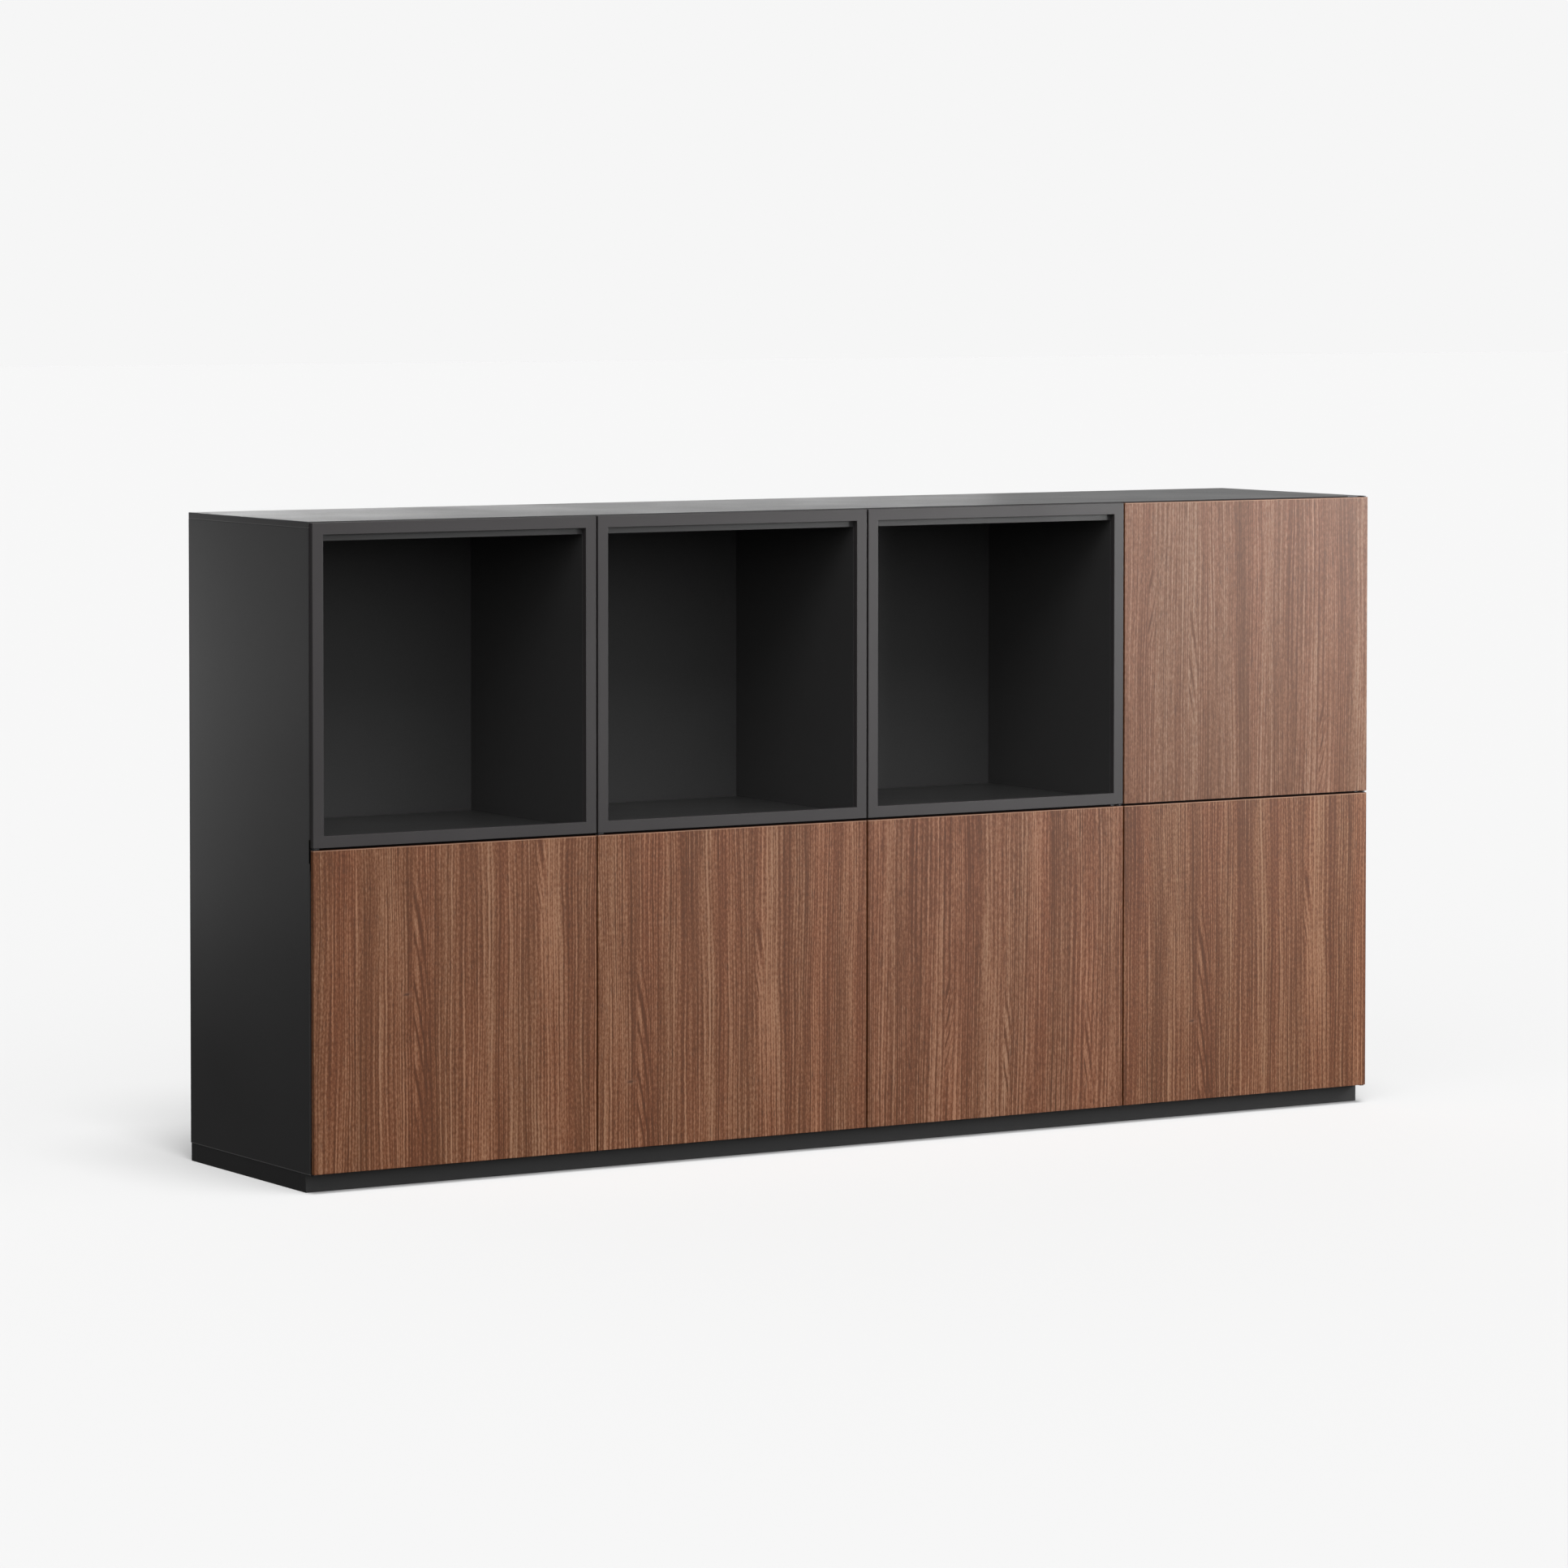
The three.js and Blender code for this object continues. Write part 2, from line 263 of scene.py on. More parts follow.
# Two printed sheets. Each is laid on several doors, with its origin at another place on each door.
SHEETS = {
    "knotted": {
        "seed": 3.1,
        "knot": True,
        "contrast": 1.15,
        "flames": [Flame(13, -10, 235, 0.26, 62, 34), Flame(208, 160, 75, 0.24, 46, 22)],
    },
    "plain": {
        "seed": 5.4,
        "knot": False,
        "contrast": 0.75,
        "flames": [
            Flame(0, -5, 90, -0.36, 27, 18),
            Flame(104, -45, 105, 0.26, 50, 20),
            Flame(254, -55, 95, 0.24, 50, 22),
            Flame(-243, 128, 100, 0.24, 54, 24),
            Flame(-319, 218, 80, -0.30, 40, 20),
        ],
    },
}
# door: sheet, the sheet's origin from the door's lower left corner in millimetres, contrast and tint.
# The tint darkens door_lower_4 as painted shade. door_upper_4's bluer tint and lower contrast are a
# painted sheen.
LAID = {
    "door_lower_1": ("knotted", 144, 240, 1.08, (0.99, 0.99, 0.91)),
    "door_lower_2": ("knotted", 52, 94, 1.12, (1.00, 0.99, 0.91)),
    "door_lower_3": ("plain", 131, 148, 1.05, (1.00, 0.99, 0.93)),
    "door_lower_4": ("knotted", 123, 118, 1.12, (0.93, 0.93, 0.84)),
    "door_upper_4": ("plain", 355, 72, 0.82, (0.93, 1.03, 1.08)),
}


class Veneer(Graph):
    """A printed sheet with its grain along Z, laid with its own zero on the origin."""

    def __init__(self, name, sheet, origin):
        super().__init__(name)
        self.sheet = sheet
        x, y, self.height = self.axes(self.place)
        self.across = self.math("SUBTRACT", self.math("ADD", x, y), origin[0])
        self.along = self.math("SUBTRACT", self.height, origin[1])
        bent = self.bend(self.across, BROAD_BEND, 0.0)
        self.bent = self.bend(bent, NARROW_BEND, 1.0)
        self.fine = self.bend(self.bent, FINE_BEND, 2.0)

    def pattern(self, across, pitch, layer, detail=0.0):
        """Noise laid on the sheet. The layer only keeps one pattern apart from the others."""
        waves = [self.math("MULTIPLY", across, pitch[0]), self.math("MULTIPLY", self.along, pitch[1])]
        return self.noise(self.point(*waves, self.sheet["seed"] + layer), detail=detail)

    def bend(self, across, shape, layer):
        """Sways a place across the grain from side to side, as it goes along the grain."""
        pitch, reach_mm = shape
        sway = self.spread(self.pattern(across, pitch, layer), 0.2, 0.8, -reach_mm * MM, reach_mm * MM)
        return self.math("ADD", across, sway)

    def shading(self, curl):
        """Broad and fine streaks, and the short curl of the fibres."""
        shade = 0.5
        for number, (pitch, weight) in enumerate(GRAIN):
            if pitch[0] < FINE_PER_METRE:
                weight *= self.sheet["contrast"]
            grain = self.math("SUBTRACT", self.pattern(self.fine, pitch, 10.0 + number), 0.5)
            shade = self.math("ADD", self.math("MULTIPLY", grain, weight), shade)
        return self.math("ADD", self.math("MULTIPLY", curl, CURL_WEIGHT), shade)

    def growth_lines(self, per_metre, layer, weight):
        """Lines that run the height of the sheet, with an uneven pitch and strength."""
        drift = self.spread(self.pattern(self.fine, (per_metre / 8, 1.0), layer), 0.2, 0.8, -0.8, 0.8)
        turn = self.math("ADD", self.math("MULTIPLY", self.fine, per_metre), drift)
        strength = self.pattern(self.fine, (per_metre / 3, 3.0), layer + 1.0)
        strength = self.spread(strength, 0.32, 0.68, 0.1 * weight, weight)
        wave = self.math("SINE", self.math("MULTIPLY", turn, 2 * math.pi))
        return self.math("MULTIPLY", wave, strength)

    def flame_mask(self, flame, side, height):
        """One inside the flame, fading to nothing at its ends and away from its seam."""
        rise = self.spread(side, -0.5 * MM, 1.0 * MM)
        fall = self.spread(side, 0.2 * flame.reach, flame.reach, 1.0, 0.0, smooth=True)
        off_middle = self.math("ABSOLUTE", height)
        span = self.spread(off_middle, 0.4 * flame.half_height, flame.half_height, 1.0, 0.0, smooth=True)
        return self.math("MULTIPLY", self.math("MULTIPLY", rise, fall), span)

    def flame_strokes(self, flame, number):
        """A flame's mask, and its strokes, which are dark where the value is below zero."""
        seed = self.sheet["seed"]
        side = self.math("SUBTRACT", self.bent, flame.x)
        height = self.math("SUBTRACT", self.along, flame.z)
        mask = self.flame_mask(flame, side, height)
        steeper = self.math("ADD", self.math("MULTIPLY", side, 0.6 / flame.reach), 1.0)
        run = self.math("MULTIPLY", self.math("DIVIDE", side, flame.lean), steeper)
        turn = self.math("MULTIPLY", self.math("ADD", height, run), flame.per_metre)
        uneven = self.noise(self.point(self.math("MULTIPLY", turn, 0.7), seed, 40.0 + number))
        turn = self.math("ADD", turn, self.spread(uneven, 0.2, 0.8, -0.6, 0.6))
        off_centre = self.math("ABSOLUTE", self.math("SUBTRACT", self.math("FRACT", turn), 0.5))
        stroke = self.spread(off_centre, 0.03, 0.26, -0.60, 0.15)
        weight = self.noise(self.point(self.math("FLOOR", turn), seed + 0.5, 50.0 + number))
        stroke = self.math("MULTIPLY", stroke, self.spread(weight, 0.35, 0.65, 0.5, 1.1))
        return mask, self.math("MULTIPLY", stroke, mask)

    def figure(self):
        """Growth lines and the flames' strokes. The lines are faint inside a flame."""
        masks, strokes = 0.0, 0.0
        for number, flame in enumerate(self.sheet["flames"]):
            mask, stroke = self.flame_strokes(flame, number)
            masks = self.math("ADD", mask, masks)
            strokes = self.math("ADD", stroke, strokes)
        growth = 0.0
        for number, (per_metre, weight) in enumerate(GROWTH):
            growth = self.math("ADD", self.growth_lines(per_metre, 30.0 + 2 * number, weight), growth)
        growth = self.math("MULTIPLY", growth, self.spread(masks, 0.0, 1.0, 1.0, 0.2))
        return self.math("ADD", growth, strokes)

    def add_knot(self, base):
        """A pin knot: a short dark eye, wider than it is tall, in a slightly paler patch."""
        wide = self.math("DIVIDE", self.across, KNOT_W / 2)
        tall = self.math("DIVIDE", self.along, KNOT_H / 2)
        waves = [self.math("MULTIPLY", d, KNOT_WAVES_PER_METRE) for d in (self.across, self.along)]
        wobble = self.noise(self.point(*waves, 5.0))
        far = self.math("ADD", self.math("MULTIPLY", wide, wide), self.math("MULTIPLY", tall, tall))
        far = self.math("ADD", self.math("SQRT", far), self.spread(wobble, 0.2, 0.8, -0.5, 0.5))
        rim = self.mix(self.spread(far, 1.0, 3.0, 0.16, 0.0, smooth=True), base, WALNUT_LIGHT)
        return self.mix(self.spread(far, 0.4, 1.2, 0.7, 0.0, smooth=True), rim, WALNUT_PORE_AND_GAP_SHADE)


def walnut(name, sheet, origin, top, contrast, tint_and_painted_light):
    """Walnut laminate for one door, with a pale edge band that is partly a painted highlight, and
    painted shade along its top edge.
    """
    g = Veneer(name, sheet, origin)
    curl = g.math("SUBTRACT", g.pattern(g.fine, CURL, 20.0, detail=1.0), 0.5)
    fibre = g.pattern(g.fine, FIBRE, 22.0, detail=1.0)
    pores = g.pattern(g.fine, PORES, 23.0, detail=1.0)
    warmth = g.spread(g.pattern(g.fine, WARMTH, 24.0, detail=1.0), 0.36, 0.64)
    tone = g.math("SUBTRACT", g.math("ADD", g.shading(curl), g.figure()), 0.5)
    tone = g.math("ADD", g.math("MULTIPLY", tone, contrast), 0.5)

    # The tint paints shade on door_lower_4 and a sheen on door_upper_4. On the other doors it is tone.
    tan = [a * b for a, b in zip(TAN_TINT, tint_and_painted_light)]
    red = [a * b for a, b in zip(RED_TINT, tint_and_painted_light)]
    base = g.mix(1.0, g.ramp(tone, TONES), g.mix(warmth, tan, red), "MULTIPLY")
    base = g.mix(g.spread(fibre, 0.3, 0.7, 0.0, 0.20), base, WALNUT_DARK)
    base = g.mix(g.spread(pores, 0.60, 0.72, 0.0, 0.55), base, WALNUT_PORE_AND_GAP_SHADE)
    if sheet["knot"]:
        base = g.add_knot(base)
    # A pale band near the top, partly edge band and partly a painted highlight. The top half millimetre
    # and the top face get painted shade, as dark as the gap over the door, and a matt finish.
    pale_edge_and_highlight = g.spread(g.height, top - PALE_EDGE_AND_HIGHLIGHT[0] * MM, top - PALE_EDGE_AND_HIGHLIGHT[1] * MM)
    painted_gap_shade = g.spread(g.height, top - GAP_SHADE_EDGE[0] * MM, top - GAP_SHADE_EDGE[1] * MM)
    base = g.mix(g.math("MULTIPLY", pale_edge_and_highlight, 0.8), base, EDGE_BAND_AND_HIGHLIGHT)
    base = g.mix(g.math("MULTIPLY", painted_gap_shade, 0.95), base, WALNUT_PORE_AND_GAP_SHADE)

    relief = g.math("ADD", g.math("MULTIPLY", curl, 0.5), g.math("MULTIPLY", fibre, 0.4))
    relief = g.math("SUBTRACT", relief, g.spread(pores, 0.6, 0.74, 0.0, 0.5))
    g.bump(relief, 0.12 * MM, 0.6)
    g.put(g.shader.inputs["Specular IOR Level"], g.spread(painted_gap_shade, 0.0, 1.0, GLOSSY, MATT))
    return g.finish(base, roughness=g.spread(tone, 0.2, 0.8, 0.42, 0.35))


CHARCOAL = (0.0430, 0.0424, 0.0428)
FRAME_GREY = (0.0440, 0.0400, 0.0412)
BACK_GREY = (0.0400, 0.0396, 0.0400)
PLINTH_BLACK = (0.0280, 0.0277, 0.0280)
ZINC = (0.085, 0.087, 0.092)
SCREW_ZINC = (0.060, 0.061, 0.064)
PLASTIC_BLACK = (0.016, 0.016, 0.017)
# The carcass's painted light: a pale grey for painted highlights and a black for painted shade.
PAINTED_HIGHLIGHT_GREY = (0.200, 0.195, 0.195)
PAINTED_SHADE_BLACK = (0.003, 0.003, 0.003)

SIDE_LOW, SIDE_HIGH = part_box("column_1_side_left")
CARCASS_FRONT = SIDE_LOW[1]
FOOT = SIDE_LOW[2]
JOINT = SIDE_HIGH[2]
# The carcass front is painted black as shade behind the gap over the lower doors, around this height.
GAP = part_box("door_upper_4")[0][2] - 5.0 * MM  # height of the black edge's middle
GAP_REACH = 16.0 * MM  # how far it goes up and down from there


def paint_edge_light_and_shade(g, base):
    """Paints light and shade on the edges of the column boards.

    That is a painted highlight along the foot, a painted highlight and a painted shadow line at the
    joint under the cover, and painted shade behind the gap over the lower doors: a matt black front
    edge.
    """
    _, depth, height = g.axes(g.place)
    # A painted highlight along the foot.
    base = g.mix(g.spread(height, FOOT + 1.0 * MM, FOOT + 1.4 * MM, 0.8, 0.0), base, PAINTED_HIGHLIGHT_GREY)
    # A painted highlight just above the joint under the cover, and a painted shadow line just below it.
    for above_joint, colour, share in ((0.6 * MM, PAINTED_HIGHLIGHT_GREY, 0.30), (-0.5 * MM, PAINTED_SHADE_BLACK, 0.7)):
        from_line = g.math("ABSOLUTE", g.math("SUBTRACT", height, JOINT + above_joint))
        base = g.mix(g.spread(from_line, 0.3 * MM, 0.7 * MM, share, 0.0), base, colour)
    # Painted shade: the front face goes matt black near the gap over the lower doors.
    behind_edge = g.spread(depth, CARCASS_FRONT + 0.5 * MM, CARCASS_FRONT + 0.8 * MM)
    from_gap = g.math("ABSOLUTE", g.math("SUBTRACT", height, GAP))
    plain = g.math("MAXIMUM", behind_edge, g.spread(from_gap, GAP_REACH, GAP_REACH + 0.5 * MM))
    g.put(g.shader.inputs["Specular IOR Level"], g.spread(plain, 0.0, 1.0, MATT, GLOSSY))
    return g.mix(plain, PAINTED_SHADE_BLACK, base)


def board_finish(name, colour, grainy, roughness, bump_mm=0.03, with_painted_edges=False, metallic=0.0):
    """Melamine or zinc: fine speckle, faint clouds and a pearled surface."""
    g = Graph(name)
    speck = g.noise(g.place, scale=1500.0, detail=2.0, roughness=0.6)
    cloud = g.noise(g.place, scale=7.0, detail=3.0, roughness=0.55)
    pearl = g.noise(g.place, scale=620.0, detail=1.5, roughness=0.5)
    dark = tuple(c * (1.0 - grainy) for c in colour)
    light = tuple(c * (1.0 + grainy) for c in colour)
    base = g.mix(g.spread(speck, 0.32, 0.68), dark, light)
    base = g.mix(g.spread(cloud, 0.3, 0.7, 0.0, 0.22), base, tuple(c * 1.25 for c in colour))
    # The carcass boards get painted highlights and painted shade on their edges.
    if with_painted_edges:
        base = paint_edge_light_and_shade(g, base)
    uneven = g.spread(g.math("ADD", pearl, cloud), 0.7, 1.3, roughness - 0.04, roughness + 0.05)
    g.bump(pearl, bump_mm * MM, 0.55)
    return g.finish(base, uneven, metallic)


materials = {
    "carcass": board_finish("charcoal_board", CHARCOAL, 0.16, 0.38, with_painted_edges=True),
    "back": board_finish("charcoal_back", BACK_GREY, 0.14, 0.50),
    "plinth": board_finish("plinth_board", PLINTH_BLACK, 0.14, 0.5),
    "frame": board_finish("frame_laminate", FRAME_GREY, 0.10, 0.38, bump_mm=0.02),
    "steel": board_finish("black_zinc", ZINC, 0.10, 0.38, metallic=1.0),
    "screw": board_finish("black_screw", SCREW_ZINC, 0.10, 0.30, metallic=1.0),
    "plastic": board_finish("black_plastic", PLASTIC_BLACK, 0.10, 0.4),
}


def dress(names, material, radius_mm, segments=2):
    """Gives CAD nodes a material and eases their edges."""
    for name in names:
        node = NODES[name]
        node.data.materials.clear()
        node.data.materials.append(material)
        weld = node.modifiers.new("weld", "WELD")
        weld.merge_threshold = 1e-6
        bevel = node.modifiers.new("eased_edges", "BEVEL")
        bevel.width = radius_mm * MM
        bevel.segments = segments
        bevel.limit_method = "ANGLE"
        bevel.angle_limit = math.radians(40.0)
        bevel.harden_normals = False


dress(BOARDS, materials["carcass"], 0.5)
dress(BACKS, materials["back"], 0.4)
dress(PLINTH, materials["plinth"], 0.6)
dress(FRAMES, materials["frame"], 0.9, 3)
dress(HINGES + BRACKETS, materials["steel"], 0.25)
dress(HOUSINGS + PLUNGERS, materials["plastic"], 0.4)
for number, door in enumerate(DOORS):
    sheet, from_left, from_bottom, contrast, tint_and_painted_light = LAID[door]
    corner, far_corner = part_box(door)
    origin = (corner[0] + corner[1] + from_left * MM, corner[2] + from_bottom * MM)
    veneer = walnut(f"walnut_{number + 1}", SHEETS[sheet], origin, far_corner[2], contrast, tint_and_painted_light)
    dress([door], veneer, 0.5, 3)


# ---------------------------------------------------------------- small fittings

DOOR_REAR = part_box("door_lower_1")[1][1]
PINS = {joint["child"]: joint["pos_m"] for joint in frame["joints"] if joint["type"] == "hinge"}

TONGUE_T = 1.2 * MM
TONGUE_W = 6.0 * MM
FLANGE_T = 1.5 * MM
FLANGE_H = 32.0 * MM
TOP_FLANGE_H = 7.5 * MM
PLATE_CORNER_R = 1.2 * MM
PIN_R = 1.5 * MM
PIN_L = 12.0 * MM
PIN_POINT_L = 0.7 * MM
PIN_POINT_R = 1.0 * MM
SCREW_R = 2.7 * MM
SMALL_SCREW_R = 1.7 * MM
HOLE_R = 1.6 * MM
SMALL_HOLE_R = 1.2 * MM
STRIKE_T = 0.15 * MM
STRIKE_W = 12.0 * MM
STRIKE_H = 22.0 * MM
STRIKE_SCREW_PITCH = 15.0 * MM
LATCH_SCREW_PITCH = 36.0 * MM
BRACKET_LEG_T = 2.0 * MM
BRACKET_LEG = 32.0 * MM
BRACKET_SCREW_PITCH = 24.0 * MM
BRACKET_SCREW_R = 3.4 * MM


class Spot:
    """A place on the object with its own axes: u and v lie in the surface and h points out of it."""

    def __init__(self, place, out, up=(0.0, 0.0, 1.0)):
        self.place, self.out = Vector(place), Vector(out).normalized()
        self.u = Vector(up).cross(self.out).normalized()
        self.v = self.out.cross(self.u)

    def at(self, u, v, h):
        return self.place + self.u * u + self.v * v + self.out * h


def circle(radius, sides=28, centre=(0.0, 0.0)):
    turns = [2 * math.pi * step / sides for step in range(sides)]
    return [(centre[0] + radius * math.cos(t), centre[1] + radius * math.sin(t)) for t in turns]


def rounded(width, height, radius, steps=5):
    """A rectangle round zero with rounded corners."""
    points = []
    for quarter, (sx, sy) in enumerate([(1, 1), (-1, 1), (-1, -1), (1, -1)]):
        for step in range(steps + 1):
            turn = (quarter + step / steps) * math.pi / 2
            u = sx * (width / 2 - radius) + radius * math.cos(turn)
            v = sy * (height / 2 - radius) + radius * math.sin(turn)
            points.append((u, v))
    return points


def cross_outline(reach, half):
    """The outline of a cross recess, anticlockwise."""
    arm = [(reach, -half), (reach, half), (half, half)]
    points = []
    for quarter in range(4):
        c, s = round(math.cos(quarter * math.pi / 2)), round(math.sin(quarter * math.pi / 2))
        points += [(c * u - s * v, s * u + c * v) for u, v in arm]
    return points


def loop(bm, spot, outline, h):
    return [bm.verts.new(spot.at(u, v, h)) for u, v in outline]


def wall(bm, one, other):
    for k in range(len(one)):
        n = (k + 1) % len(one)
        bm.faces.new((one[k], one[n], other[n], other[k]))


def cap(bm, *loops):
    """Fills the first loop, leaving the others open as holes."""
    if len(loops) == 1:
        bm.faces.new(loops[0])
        return
    edges = []
    for ring in loops:
        for k, vert in enumerate(ring):
            pair = (vert, ring[(k + 1) % len(ring)])
            edges.append(bm.edges.get(pair) or bm.edges.new(pair))
    bmesh.ops.triangle_fill(bm, use_beauty=True, edges=edges)


def slab(bm, spot, outline, thickness, holes=(), hole_r=0.0, sink_r=0.0, ease=0.15 * MM):
    """A plate whose outer face is at the spot, with eased edges and countersunk holes."""
    middle = Vector((sum(u for u, v in outline), sum(v for u, v in outline))) / len(outline)
    inner = []
    for u, v in outline:
        out = Vector((u, v)) - middle
        inner.append(tuple(middle + out * (1.0 - ease / out.length)))
    face = loop(bm, spot, inner, 0.0)
    edge = loop(bm, spot, outline, -min(ease, thickness / 2))
    back = loop(bm, spot, outline, -thickness)
    wall(bm, face, edge)
    wall(bm, edge, back)
    fronts, backs = [face], [back]
    for centre in holes:
        front = loop(bm, spot, circle(sink_r, centre=centre), 0.0)
        rear = loop(bm, spot, circle(hole_r, centre=centre), -thickness)
        wall(bm, front, rear)
        fronts.append(front)
        backs.append(rear)
    cap(bm, *fronts)
    cap(bm, *backs)


def turned(bm, spot, profile, sides=36, closed=False):
    """A turned solid about the spot's h axis. The profile is a list of radius and height."""
    rings = []
    for radius, h in profile:
        if radius == 0:
            rings.append([bm.verts.new(spot.at(0, 0, h))])
        else:
            rings.append(loop(bm, spot, circle(radius, sides), h))
    pairs = list(zip(rings, rings[1:]))
    if closed:
        pairs.append((rings[-1], rings[0]))
    for one, other in pairs:
        if len(one) > 1 and len(other) > 1:
            wall(bm, one, other)
        else:
            tip, rim = (one[0], other) if len(one) == 1 else (other[0], one)
            for k in range(sides):
                bm.faces.new((tip, rim[k], rim[(k + 1) % sides]))


def screw(bm, spot, radius, centre, proud=0.0):
    """The head of a countersunk cross-recess screw."""
    place = Spot(spot.at(*centre, proud), spot.out, spot.v)
    face = loop(bm, place, circle(0.93 * radius), 0.0)
    rim = loop(bm, place, circle(radius), -0.09 * radius)
    neck = loop(bm, place, circle(0.55 * radius), -0.5 * radius)
    mouth = loop(bm, place, cross_outline(0.56 * radius, 0.13 * radius), 0.0)
    floor_loop = loop(bm, place, cross_outline(0.42 * radius, 0.09 * radius), -0.32 * radius)
    wall(bm, face, rim)
    wall(bm, rim, neck)
    wall(bm, mouth, floor_loop)
    cap(bm, neck)
    cap(bm, floor_loop)
    cap(bm, face, mouth)


def piece(name, body, material, build):
    """Makes one piece: build fills a bmesh, in the shared frame, and the piece rides on a body."""
    bm = bmesh.new()
    build(bm)
    bmesh.ops.recalc_face_normals(bm, faces=bm.faces)
    data = bpy.data.meshes.new(name)
    bm.to_mesh(data)
    bm.free()
    data.shade_smooth()
    data.set_sharp_from_angle(angle=math.radians(32.0))
    data.materials.append(material)
    made = bpy.data.objects.new(name, data)
    bpy.context.scene.collection.objects.link(made)
    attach(made, body)
    return made


def door_of(hinge):
    """The door whose pin a hinge carries. The middle hinge of a column carries the lower door's too."""
    words = hinge.split("_")
    row = "upper" if words[1] == "upper" else "lower"
    return f"door_{row}_{words[2]}"


def make_hinge(name):
    """A zinc-plated pivot hinge: a flange with two screws, a tongue, and one or two pins."""
    low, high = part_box(name)
    pin_x, pin_y, _ = PINS[door_of(name)]
    at_bottom, in_middle, at_top = (word in name for word in ("bottom", "middle", "upper"))
    tongue_z = low[2] if at_bottom else high[2] - TONGUE_T
    if in_middle:
        tongue_z -= PIN_L
    flange_h = TOP_FLANGE_H if at_top else FLANGE_H
    flange_z = tongue_z if at_bottom else tongue_z + TONGUE_T - flange_h
    flange_w = high[0] - low[0]
    flange = Spot(((low[0] + high[0]) / 2, CARCASS_FRONT, flange_z + flange_h / 2), (0, -1, 0))
    if at_top:
        away = math.copysign(1.0, flange.u.x * (flange.place.x - pin_x))
        holes = [(away * -4.0 * MM, 0.0), (away * 8.0 * MM, 0.0)]
    else:
        away = 1.0 if at_bottom else -1.0
        holes = [(0.0, away * -5.0 * MM), (0.0, away * 9.0 * MM)]

    def plates(bm):
        outline = rounded(flange_w, flange_h, PLATE_CORNER_R)
        slab(bm, flange, outline, FLANGE_T, holes, HOLE_R, SCREW_R + 0.15 * MM)
        reach = CARCASS_FRONT - low[1]
        tongue = Spot((pin_x, CARCASS_FRONT - reach / 2, tongue_z + TONGUE_T), (0, 0, 1), (0, 1, 0))
        slab(bm, tongue, rounded(TONGUE_W, reach, PLATE_CORNER_R), TONGUE_T)
        pin = [(0, 0), (PIN_R, 0), (PIN_R, PIN_L - PIN_POINT_L), (PIN_POINT_R, PIN_L), (0, PIN_L)]
        if at_bottom or in_middle:
            turned(bm, Spot((pin_x, pin_y, tongue_z + TONGUE_T), (0, 0, 1), (0, 1, 0)), pin)
        if not at_bottom:
            turned(bm, Spot((pin_x, pin_y, tongue_z), (0, 0, -1), (0, 1, 0)), pin)

    made = piece(f"{name}_plate", "carcass", materials["steel"], plates)
    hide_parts(name)

    def screws(bm):
        for centre in holes:
            screw(bm, flange, SCREW_R, centre)

    piece(f"{name}_screws", "carcass", materials["screw"], screws)


def make_latch(tag):
    """A push latch: a collar and screws on its housing, a turned plunger, and a plate on the door."""
    low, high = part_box(f"latch_housing_{tag}")
    plunger_low, plunger_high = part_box(f"latch_plunger_{tag}")
    axis = [(a + b) / 2 for a, b in zip(plunger_low, plunger_high)]
    door_x = PINS[f"door_{tag}"][0]
    inward = math.copysign(1.0, door_x - axis[0])
    inner_x = low[0] if inward < 0 else high[0]

    def collar(bm):
        rim = [(4.9, 0.0), (4.9, 1.0), (5.1, 1.2), (6.3, 1.2), (6.8, 0.8), (7.0, 0.0)]
        profile = [(radius * MM, h * MM) for radius, h in rim]
        turned(bm, Spot((axis[0], low[1], axis[2]), (0, -1, 0)), profile, 48, closed=True)

    piece(f"latch_collar_{tag}", "carcass", materials["plastic"], collar)

    def screws(bm):
        spot = Spot((inner_x, (low[1] + high[1]) / 2, axis[2]), (inward, 0, 0))
        for end in (-0.5, 0.5):
            screw(bm, spot, SCREW_R, (end * LATCH_SCREW_PITCH, 0.0), proud=0.25 * MM)

    piece(f"latch_screws_{tag}", "carcass", materials["screw"], screws)

    def plunger(bm):
        length = (plunger_high[1] - plunger_low[1]) / MM
        nose = [(0, 0.35), (1.3, 0.35), (1.6, 0.05), (3.3, 0.05), (4.1, 0.25), (4.5, 0.8), (4.5, 2.0)]
        neck = [(4.2, 2.4), (3.0, 2.4), (3.0, 5.0), (2.7, 5.3), (2.7, 6.3), (3.0, 6.6)]
        tail = [(3.0, length - 0.6), (2.4, length), (0, length)]
        spot = Spot((axis[0], plunger_low[1], axis[2]), (0, 1, 0))
        turned(bm, spot, [(radius * MM, h * MM) for radius, h in nose + neck + tail], 48)

    name = f"latch_plunger_{tag}"
    made = piece(f"{name}_turned", name, materials["plastic"], plunger)
    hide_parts(name)

    plate = Spot((axis[0], DOOR_REAR + STRIKE_T, axis[2]), (0, 1, 0))
    ends = [(0.0, -STRIKE_SCREW_PITCH / 2), (0.0, STRIKE_SCREW_PITCH / 2)]

    def strike(bm):
        outline = rounded(STRIKE_W, STRIKE_H, 2.5 * MM)
        sink_r = SMALL_SCREW_R + 0.1 * MM
        slab(bm, plate, outline, STRIKE_T, ends, SMALL_HOLE_R, sink_r, ease=0.08 * MM)

    piece(f"strike_plate_{tag}", f"door_{tag}", materials["steel"], strike)

    def strike_screws(bm):
        for centre in ends:
            screw(bm, plate, SMALL_SCREW_R, centre)

    piece(f"strike_screws_{tag}", f"door_{tag}", materials["screw"], strike_screws)


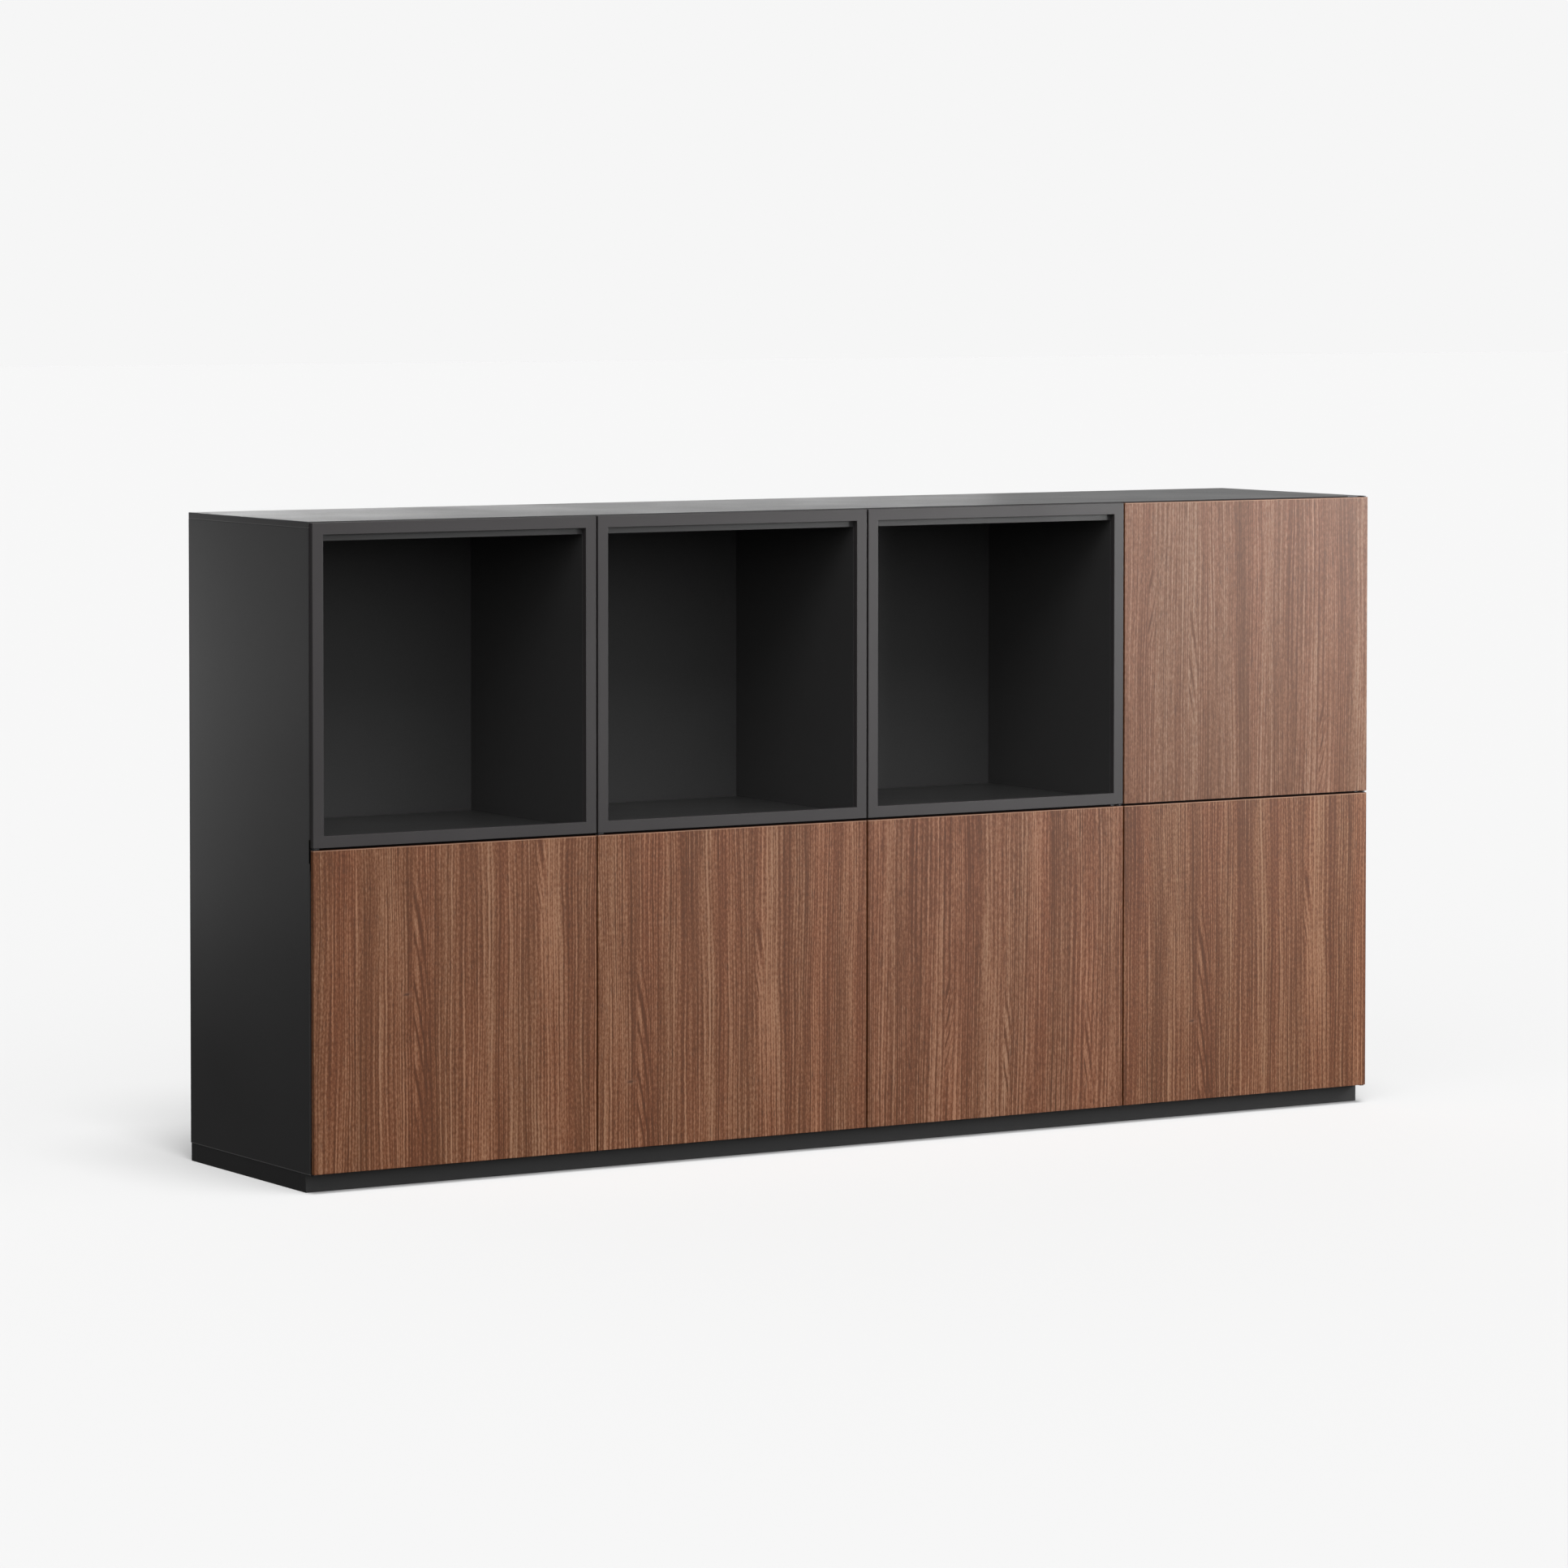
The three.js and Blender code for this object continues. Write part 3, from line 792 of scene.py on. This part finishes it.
def make_bracket_screws(name):
    """Two screws up through the bracket's level leg into the top board."""
    low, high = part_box(name)
    place = ((low[0] + high[0]) / 2, high[1] - 0.6 * BRACKET_LEG, high[2] - BRACKET_LEG_T)
    spot = Spot(place, (0, 0, -1), (0, 1, 0))

    def screws(bm):
        for side in (-0.5, 0.5):
            screw(bm, spot, BRACKET_SCREW_R, (side * BRACKET_SCREW_PITCH, 0.0), proud=0.9 * MM)

    piece(f"{name}_screws", "carcass", materials["screw"], screws)


for hinge_name in HINGES:
    make_hinge(hinge_name)
for latch_name in HOUSINGS:
    make_latch(latch_name.removeprefix("latch_housing_"))
for bracket_name in BRACKETS:
    make_bracket_screws(bracket_name)


# ---------------------------------------------------------------- stage and light

SEEN_TONE = 0.922  # the pale studio, as the camera sees it


def make_floor(seen_albedo, glow, bounce_albedo):
    """A plain pale floor. The camera sees it near white; the object sees a darker one."""
    data = bpy.data.meshes.new("floor")
    size = 60.0
    corners = [(-size, -size, 0.0), (size, -size, 0.0), (size, size, 0.0), (-size, size, 0.0)]
    data.from_pydata(corners, [], [(0, 1, 2, 3)])
    floor = bpy.data.objects.new("floor", data)
    bpy.context.scene.collection.objects.link(floor)
    g = Graph("studio_floor")
    path = g.node("ShaderNodeLightPath").outputs["Is Camera Ray"]
    tone = g.mix(path, (bounce_albedo,) * 3, (seen_albedo,) * 3)
    g.finish(tone, 0.9)
    g.shader.inputs["Specular IOR Level"].default_value = 0.0
    g.put(g.shader.inputs["Emission Color"], (1.0, 1.0, 1.0, 1.0))
    g.put(g.shader.inputs["Emission Strength"], g.math("MULTIPLY", path, glow))
    data.materials.append(g.material)
    floor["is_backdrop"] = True
    return floor


def make_world(seen, lobes):
    """The camera sees one tone. The object is lit by soft lobes from far away."""
    world = bpy.data.worlds.new("studio")
    bpy.context.scene.world = world
    world.use_nodes = True
    tree = world.node_tree
    tree.nodes.clear()

    def node(kind, **settings):
        made = tree.nodes.new(kind)
        for key, value in settings.items():
            setattr(made, key, value)
        return made

    def maths(operation, a, b):
        made = node("ShaderNodeMath", operation=operation)
        for socket, value in zip(made.inputs, (a, b)):
            if isinstance(value, bpy.types.NodeSocket):
                tree.links.new(value, socket)
            else:
                socket.default_value = value
        return made.outputs[0]

    direction = node("ShaderNodeTexCoord").outputs["Generated"]
    level = 0.0
    for towards, strength, sharpness in lobes:
        dot = node("ShaderNodeVectorMath", operation="DOT_PRODUCT")
        tree.links.new(direction, dot.inputs[0])
        dot.inputs[1].default_value = Vector(towards).normalized()
        facing = maths("MAXIMUM", dot.outputs["Value"], 0.0)
        level = maths("ADD", maths("MULTIPLY", maths("POWER", facing, sharpness), strength), level)
    path = node("ShaderNodeLightPath").outputs["Is Camera Ray"]
    shown = node("ShaderNodeMix", data_type="FLOAT")
    tree.links.new(path, shown.inputs[0])
    tree.links.new(level, shown.inputs[2])
    shown.inputs[3].default_value = seen
    background = node("ShaderNodeBackground")
    tree.links.new(shown.outputs[0], background.inputs["Strength"])
    tree.links.new(background.outputs[0], node("ShaderNodeOutputWorld").inputs[0])
    background.inputs["Color"].default_value = (1.0, 1.0, 1.0, 1.0)


def softbox(name, place, aim, width, height, radiance, lights, sheen_only=False):
    """A rectangular area light of even brightness, given as the radiance of its face."""
    data = bpy.data.lights.new(name, "AREA")
    data.shape = "RECTANGLE"
    data.size, data.size_y = width, height
    data.energy = radiance * width * height * math.pi
    lamp = bpy.data.objects.new(name, data)
    lamp.location = place
    lamp.rotation_euler = (Vector(aim) - Vector(place)).to_track_quat("-Z", "Y").to_euler()
    lamp.visible_camera = False
    lamp.visible_diffuse = not sheen_only
    lamp.light_linking.receiver_collection = lights
    bpy.context.scene.collection.objects.link(lamp)


def shadow_light(name, towards, strength, spread_degrees, lights):
    """A soft distant light that draws the object's shadow on the floor."""
    data = bpy.data.lights.new(name, "SUN")
    data.energy = strength
    data.angle = math.radians(spread_degrees)
    lamp = bpy.data.objects.new(name, data)
    lamp.rotation_euler = Vector(towards).to_track_quat("Z", "Y").to_euler()
    lamp.light_linking.receiver_collection = lights
    bpy.context.scene.collection.objects.link(lamp)


def light_group(name, members):
    """A collection for light linking: a lamp linked to it reaches these objects and nothing else."""
    group = bpy.data.collections.new(name)
    for member in members:
        group.objects.link(member)
    return group


floor = make_floor(seen_albedo=0.45, glow=0.142, bounce_albedo=0.02)
make_world(
    seen=SEEN_TONE,
    lobes=[
        ((0.3, 1.0, 0.15), 0.779, 4.0),
        ((-0.1, -1.0, 0.1), 0.747, 4.0),
        ((-0.7, -0.7, 0.3), 1.287, 4.0),
        ((0.7, -0.7, 0.2), 0.737, 4.0),
    ],
)
lit = light_group("lit_by_softboxes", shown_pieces())
lit_fronts = light_group("lit_by_front_right", [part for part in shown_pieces() if part.name != COVER])
floor_only = light_group("lit_by_shadow_light", [floor])
shadow_light("shadow_overhead", (0.0, -0.18, 1.0), 3.02, 24.0, floor_only)
shadow_light("shadow_front_left", (-0.22, -0.6, 1.0), 1.68, 20.0, floor_only)

# Three softboxes give the fronts a sheen and no more. The others light and shine.
upper_right = (0.9, 0.0, 0.7)
softbox("sheen_near", (2.6, -3.4, 0.75), upper_right, 0.9, 0.9, 6.3, lit_fronts, sheen_only=True)
softbox("sheen_far", (3.5, -3.2, 0.75), upper_right, 0.9, 0.9, 0.28, lit_fronts, sheen_only=True)
softbox("sheen_high", (3.5, -3.2, 1.5), upper_right, 0.9, 0.6, 12.0, lit_fronts, sheen_only=True)
softbox("near_right", (2.2, -0.9, 0.98), (0.9, -0.1, 0.65), 0.6, 0.6, 16.8, lit_fronts)
softbox("over_front", (-0.3, -2.2, 3.0), (0.0, 0.0, 0.5), 3.6, 1.2, 3.6, lit)

# A standing strip in six parts, whose reflection fades down the left side.
STRIP_PART_H = 0.15
for part_number, radiance in enumerate((0.4, 1.35, 1.65, 2.12, 1.83, 1.30), start=1):
    height = 0.02 + part_number * STRIP_PART_H
    softbox("rear_left", (-0.95, 0.95, height), (-0.95, 0.0, height), 0.4, STRIP_PART_H, radiance, lit)

# Two lying strips, whose reflection crosses the cover.
softbox("rear_strip_left", (0.1, 2.2, 1.03), (0.1, 0.0, 0.98), 0.8, 0.20, 6.9, lit)
softbox("rear_strip_right", (1.15, 2.2, 1.03), (1.15, 0.0, 0.98), 1.3, 0.20, 4.4, lit)

bpy.context.scene.view_settings.view_transform = "Standard"
